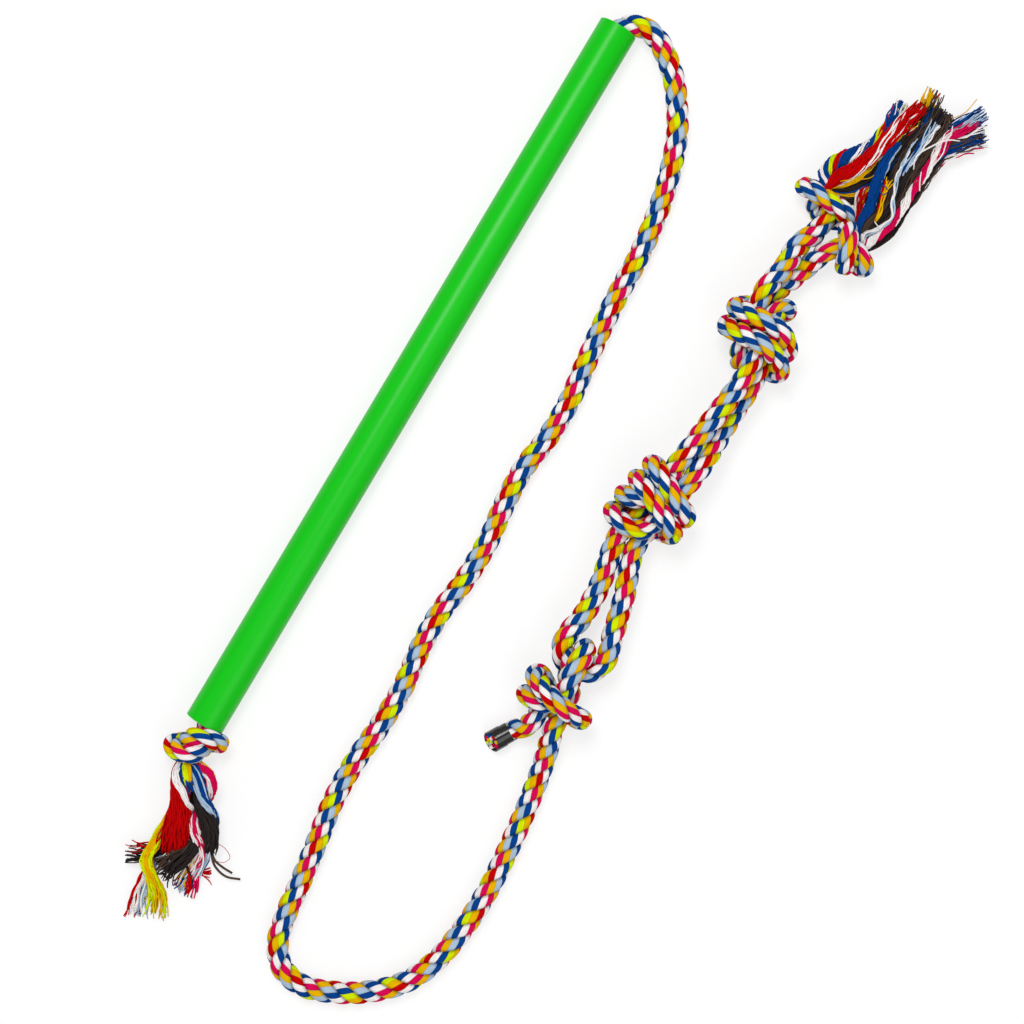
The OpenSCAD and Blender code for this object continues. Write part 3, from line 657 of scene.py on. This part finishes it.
def sheaf(route, steps, count, colours, twist=0.3, spread=1.0):
    """Wavy threads side by side along the steps, coloured by sector. At a knot they start inside it."""
    line = picture_steps(route, steps)
    if math.hypot(*steps[0][:2]) < knot_reach:
        line = [[*route[-3][:3], mm * steps[0][3]]] + line
    samples, run = run_along(line, sheaf_gap)
    share_along = run / run[-1]
    threads = []
    for n in range(count):
        spot = math.sqrt((n + 0.5) / count)
        angle = n * golden_turn
        stop = 1.0 - tip_share * chance.random() ** 2
        t = np.linspace(0.0, stop, thread_rings)
        line = np.stack([np.interp(t, share_along, column) for column in samples.T], axis=1)
        half_width, line = line[:, 3], line[:, :3]
        ahead = unit(np.gradient(line, axis=0))
        aside = unit(np.cross(ahead, (0, 0, 1)))
        over = np.cross(aside, ahead)
        turned = angle + 2 * math.pi * twist * (t - 0.3 * t ** 2)
        sway = [sway_reach * np.minimum(1, 3 * t) * np.sin(2 * math.pi * (
            t * run[-1] / chance.uniform(*sway_lengths) + chance.random())) for _ in range(2)]
        drift = spread * chance.gauss(0, tip_drift) * t ** 4
        line = (line + (half_width * spot * np.cos(turned) + sway[0] + drift)[:, None] * aside
                + (flat_share * half_width * spot * np.sin(turned)
                   + sway_up_share * sway[1])[:, None] * over)
        line[:, 2] = np.maximum(line[:, 2], thread_r + floor_gap)
        sector = (angle / (2 * math.pi)) % 1.0
        own = chance.random() < own_colour_share
        colour = colours[int(sector * len(colours))] if own else chance.choice(colours)
        taper = np.interp(t / stop, (0.0, 0.9, 1.0), (1.0, 1.0, 0.7))
        threads.append((line, thread_r * chance.uniform(0.8, 1.2) * taper, colour))
    return threads


def stray(route, steps, colour):
    """One loose thread of its own along the steps."""
    samples, run = run_along(picture_steps(route, steps), stray_gap)
    return [(samples[:, :3], samples[:, 3], colour)]


def fray(node, body, threads):
    """Threads as one piece that takes a bundle's place on its body."""
    piece = spin_threads(node + "_threads", threads)
    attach(piece, body)
    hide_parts(node)


fray("butt_yarn_red", "butt",
     sheaf(stop_route, [[-1, 3, 15, 3], [-3, -3, 17, 4.5], [-3, -15, 19, 5.5], [-4, -30, 17, 6.5],
                        [-7, -43, 14, 8], [-10, -57, 10, 9]], 150, [red])
     + sheaf(stop_route, [[-2, 3, 18, 1.5], [-5, -4, 23, 2], [-4, -10, 25, 2], [-1, -17, 25, 1.8],
                          [2, -23, 23, 1.2], [4, -29, 17, 0.5]], 16, [white], 0.3, 0.1)
     + sheaf(stop_route, [[-1, 3, 18, 1.5], [-1, -4, 23, 2], [2, -10, 24, 2], [4, -18, 22, 1.4]], 14, [navy])
     + sheaf(stop_route, [[-2, -52, 6, 2.5], [1, -68, 5, 4], [0, -79, 4, 5], [-2, -83, 3, 6]], 30,
             [red, pink, red, navy])
     + sheaf(stop_route, [[7, -59, 5, 1.5], [9, -69, 4, 2], [14, -69, 3, 3]], 10, [red]))
fray("butt_yarn_black", "butt",
     sheaf(stop_route, [[1, 3, 14, 3], [5, -4, 16, 3.5], [8, -14, 17, 4], [10, -24, 18, 5],
                        [14, -34, 17, 5.5], [15, -43, 15, 5], [14, -52, 12, 3.5],
                        [13, -57, 9, 2]], 80, [black, black, brown, black])
     + sheaf(stop_route, [[3, -18, 11, 3], [4, -30, 9, 4], [4, -42, 8, 4], [2, -54, 8, 4]], 44, [black])
     + stray(stop_route, [[14, -50, 9, 0.8], [17, -62, 7, 0.8], [21, -66, 5, 0.8], [27, -70, 4, 0.8]], brown)
     + stray(stop_route, [[14, -51, 9, 0.8], [17, -66, 6, 0.8], [23, -72, 4, 0.8], [32, -74, 3, 0.8]], brown)
     + stray(stop_route, [[-1, -64, 9, 0.8], [1, -69, 8, 0.8], [3, -77, 5, 0.8], [5, -80, 3, 0.8]], black)
     + stray(stop_route, [[14, -48, 12, 0.2], [24, -55, 8, 0.2], [26, -60, 7, 0.2], [22, -63, 6, 0.2],
                          [16, -62, 5, 0.2]], red))
fray("butt_yarn_pink", "butt",
     sheaf(stop_route, [[1, 3, 15, 3], [9, -2, 19, 3.5], [15, -7, 19, 3.5], [16, -15, 17, 3],
                        [12, -24, 11, 2.5], [5, -33, 13, 2.4], [5, -41, 14, 2.6], [8, -50, 12, 3],
                        [8, -58, 9, 3.2], [3, -66, 6, 3.5], [-3, -74, 4, 4], [-5, -80, 3, 4.5]], 60,
           [pink, orange, white, pink, white], 1.2))
fray("butt_yarn_yellow", "butt",
     sheaf(stop_route, [[0, 3, 17, 2.5], [2, -4, 24, 2.8], [2, -9, 24, 2.4], [0, -17, 12, 2.4],
                        [-7, -28, 10, 2.8], [-15, -41, 10, 3], [-21, -52, 12, 3.2], [-25, -60, 14, 3],
                        [-22, -70, 12, 3.2], [-19, -82, 7, 4.5], [-21, -98, 3, 8]], 64,
           [neon, orange, orange, neon, orange], 0.6))
fray("butt_yarn_brown", "butt",
     sheaf(stop_route, [[-1, 3, 13, 2.5], [-2, -15, 9, 3], [-6, -38, 7, 4], [-15, -52, 6, 4.5],
                        [-26, -57, 6, 5], [-39, -57, 6, 7]], 50, [black, black, pink, black, red])
     + sheaf(stop_route, [[6, -48, 9, 3], [3, -54, 14, 4.5], [-4, -59, 16, 6], [-11, -64, 13, 7],
                          [-17, -69, 8, 7.5]], 60, [black, black, brown], 0.3, 1.6))
fray("butt_yarn_blue", "butt",
     sheaf(stop_route, [[1, 3, 15, 2.5], [7, -4, 21, 3], [9, -12, 22, 3.2], [13, -23, 23, 2.8],
                        [17, -30, 19, 2.2], [17, -38, 10, 2.6], [12, -52, 7, 3], [7, -63, 6, 3],
                        [-1, -74, 4, 3.5], [-8, -80, 3, 4.5]], 50,
           [navy, navy, navy, sky, sky], 0.9)
     + sheaf(stop_route, [[-12, -47, 5, 2], [-23, -65, 5, 3], [-30, -79, 4, 4], [-34, -98, 2, 5]], 36,
             [white, sky, navy, white, red]))
fray("left_yarn_navy", "toy",
     sheaf(left_end, [[-3, -1, 16, 3], [-3, 4, 17, 4], [3, 10, 17, 4.5], [13, 15, 17, 4], [23, 19, 16, 3.5],
                      [33, 29, 15, 3.2], [40, 38, 13, 2.8], [47, 49, 10, 2]], 64,
           [navy, navy, red, neon, navy, white], 3.4))
fray("left_yarn_red", "toy",
     sheaf(left_end, [[1, -2, 16, 3], [5, 1, 18, 4], [17, 7, 20, 4.2], [29, 17, 21, 4], [42, 31, 20, 4.2],
                      [51, 40, 18, 4.2], [58, 46, 15, 4]], 90,
             [red, red, red, red, white, red, red], 1.3, 0.6)
     + sheaf(left_end, [[15, -30, 13, 2], [17, -22, 14, 2.6], [20, -10, 14, 3], [27, 0, 13, 3]], 26,
             [red, white, red, orange]))
fray("left_yarn_white", "toy",
     sheaf(left_end, [[2, -3, 14, 2.5], [10, -2, 16, 3], [23, 7, 17, 3], [33, 17, 18, 2.5], [44, 27, 18, 2.2],
                      [56, 37, 16, 2]], 36, [white, neon, red, white, orange], 0.8)
     + stray(left_end, [[6, -2, 21, 0.3], [14, -1, 22, 0.3], [24, 0, 21, 0.3], [30, 4, 20, 0.3]], orange))
fray("left_yarn_black", "toy",
     sheaf(left_end, [[2, -4, 12, 3], [12, -4, 13, 4], [25, 3, 14, 6], [38, 14, 15, 6.5], [50, 27, 15, 6.5],
                      [59, 39, 13, 6], [63, 46, 11, 5]], 90, [black, brown, black, black, navy]))
fray("left_yarn_orange", "toy",
     sheaf(left_end, [[2, -5, 10, 3], [13, -8, 11, 3.5], [25, -3, 10, 4], [39, 10, 8, 4], [51, 26, 7, 4],
                      [61, 42, 9, 4], [67, 56, 12, 3.5]], 50, [orange, orange, red, orange, brown], 0.4))
fray("left_yarn_blue", "toy",
     sheaf(left_end, [[2, -6, 9, 3], [16, -11, 9, 4], [25, -8, 9, 5], [39, 5, 8, 6], [53, 20, 8, 6],
                      [64, 33, 7, 6], [72, 45, 6, 4.5]], 80, [black, navy, sky, black, brown], 0.4))
fray("right_yarn_navy", "toy",
     sheaf(right_end, [[-6, 4, 16, 2.5], [-8, 11, 18, 3], [-2, 24, 20, 3.2], [2, 39, 21, 3], [7, 51, 21, 2.8],
                       [14, 62, 19, 2.6], [26, 68, 11, 3], [41, 70, 9, 3.5], [55, 76, 12, 4],
                       [71, 85, 12, 4.5]], 60, [navy, navy, navy, sky, navy], 0.8)
     + sheaf(right_end, [[0, 13, 19, 0.4], [2, 18, 23, 1], [4, 25, 25, 1.6], [6, 33, 26, 1.4],
                         [9, 42, 23, 1]], 8, [orange, red, orange])
     + sheaf(right_end, [[17, 44, 22, 1], [24, 54, 25, 1.6], [30, 63, 25, 2], [39, 76, 20, 3]], 12,
             [sky, navy, sky, white]))
fray("right_yarn_black", "toy",
     sheaf(right_end, [[-5, 3, 16, 3], [-5, 11, 18, 4.5], [5, 21, 18, 6], [15, 38, 18, 7], [25, 57, 18, 7.5],
                       [37, 72, 16, 7], [46, 85, 12, 5]], 110, [black, brown, black, sky, black, brown]))
fray("right_yarn_brown", "toy",
     sheaf(right_end, [[-4, 2, 16, 3], [-1, 9, 17, 4.5], [10, 20, 16, 5.5], [21, 35, 14, 6], [31, 50, 14, 6],
                       [42, 61, 13, 5], [56, 67, 11, 4.5], [71, 73, 9, 4.5]], 90,
           [brown, black, black, brown, navy]))
fray("right_yarn_white", "toy",
     sheaf(right_end, [[-6, 2, 18, 1.2], [-6, 7, 20, 1.4], [3, 11, 23, 1.1], [10, 17, 25, 0.9],
                       [11, 28, 26, 0.8], [14, 43, 26, 0.7], [19, 53, 25, 0.5],
                       [27, 66, 23, 0.5]], 6, [white, white, sky], 0.5, 0.6)
     + stray(right_end, [[24, 47, 24, 0.3], [25, 54, 26, 0.5], [35, 61, 27, 0.5], [45, 65, 25, 0.5],
                         [53, 65, 22, 0.3]], white)
     + stray(right_end, [[44, 65, 25, 0.4], [47, 69, 25, 0.4], [48, 74, 24, 0.3]], white)
     + stray(right_end, [[28, 34, 23, 0.4], [28, 40, 24, 0.4], [29, 46, 23, 0.3]], white)
     + stray(right_end, [[0, 15, 25, 0.3], [2, 12, 26, 0.3], [4, 10, 25, 0.3]], white)
     + stray(right_end, [[8, 34, 27, 0.3], [5, 37, 28, 0.3], [2, 34, 28, 0.3], [5, 31, 28, 0.3],
                         [8, 33, 27, 0.3]], navy)
     + stray(right_end, [[44, 78, 14, 0.3], [59, 85, 12, 0.3], [66, 93, 10, 0.3]], orange))
fray("right_yarn_pink", "toy",
     sheaf(right_end, [[-4, 1, 17, 2.5], [0, 5, 19, 3], [8, 11, 21, 2.5], [16, 20, 21, 2.3],
                       [22, 31, 20, 2.3], [29, 41, 20, 2.3], [39, 57, 19, 2.3], [46, 67, 18, 2.2],
                       [58, 73, 15, 2.5], [68, 79, 12, 2.5]], 36, [pink, pink, pink, white, white], 4.6))
fray("right_yarn_neon", "toy",
     sheaf(right_end, [[-2, 1, 14, 2.5], [2, 3, 14, 3], [13, 12, 13, 3], [19, 22, 12, 3], [28, 34, 12, 3],
                       [36, 45, 12, 2.8], [45, 57, 12, 2.6], [59, 63, 10, 2.4], [72, 67, 8, 2.2]], 40,
           [black, white, pink, white, brown, black], 0.8))

# The floor and the light: a pale paper sheet that the pole lies on, under soft light from above.
# The sheet shows white to the camera and keeps faint shadows.
floor_size = 40.0
plain_share = 0.7
room_light = 0.55
bpy.ops.object.select_all(action="DESELECT")
bpy.ops.mesh.primitive_plane_add(size=floor_size, location=(0.0, 0.0, 0.0))
floor = bpy.context.active_object
floor.name = "floor"
floor_material = bpy.data.materials.new("pale_sheet")
floor_material.use_nodes = True
tree = floor_material.node_tree
tree.nodes.clear()
path = put(tree, "ShaderNodeLightPath")
paper = put(tree, "ShaderNodeBsdfDiffuse", {"Color": (0.9, 0.9, 0.9, 1.0)})
plain = put(tree, "ShaderNodeEmission", {"Color": (1.0, 1.0, 1.0, 1.0), "Strength": 1.0})
seen = sum_of(tree, "MAXIMUM", path.outputs["Is Camera Ray"], path.outputs["Is Glossy Ray"])
share = sum_of(tree, "MULTIPLY", seen, plain_share)
both = put(tree, "ShaderNodeMixShader", {0: share, 1: paper.outputs[0], 2: plain.outputs[0]})
put(tree, "ShaderNodeOutputMaterial", {0: both.outputs[0]})
floor.data.materials.append(floor_material)
world = bpy.data.worlds.new("world")
bpy.context.scene.world = world
world.use_nodes = True
world.node_tree.nodes["Background"].inputs["Color"].default_value = (1.0, 1.0, 1.0, 1.0)
world.node_tree.nodes["Background"].inputs["Strength"].default_value = room_light
for label, place, size, power in (("key_light", (-0.5, 0.4, 1.6), 0.6, 16.0),
                                  ("fill_light", (0.8, -0.5, 1.5), 1.2, 8.0)):
    lamp_data = bpy.data.lights.new(label, "AREA")
    lamp_data.size = size
    lamp_data.energy = power
    lamp = bpy.data.objects.new(label, lamp_data)
    lamp.location = place
    lamp.rotation_euler = (-Vector(place)).to_track_quat("-Z", "Y").to_euler()
    bpy.context.scene.collection.objects.link(lamp)
bpy.context.scene.view_settings.view_transform = "Standard"
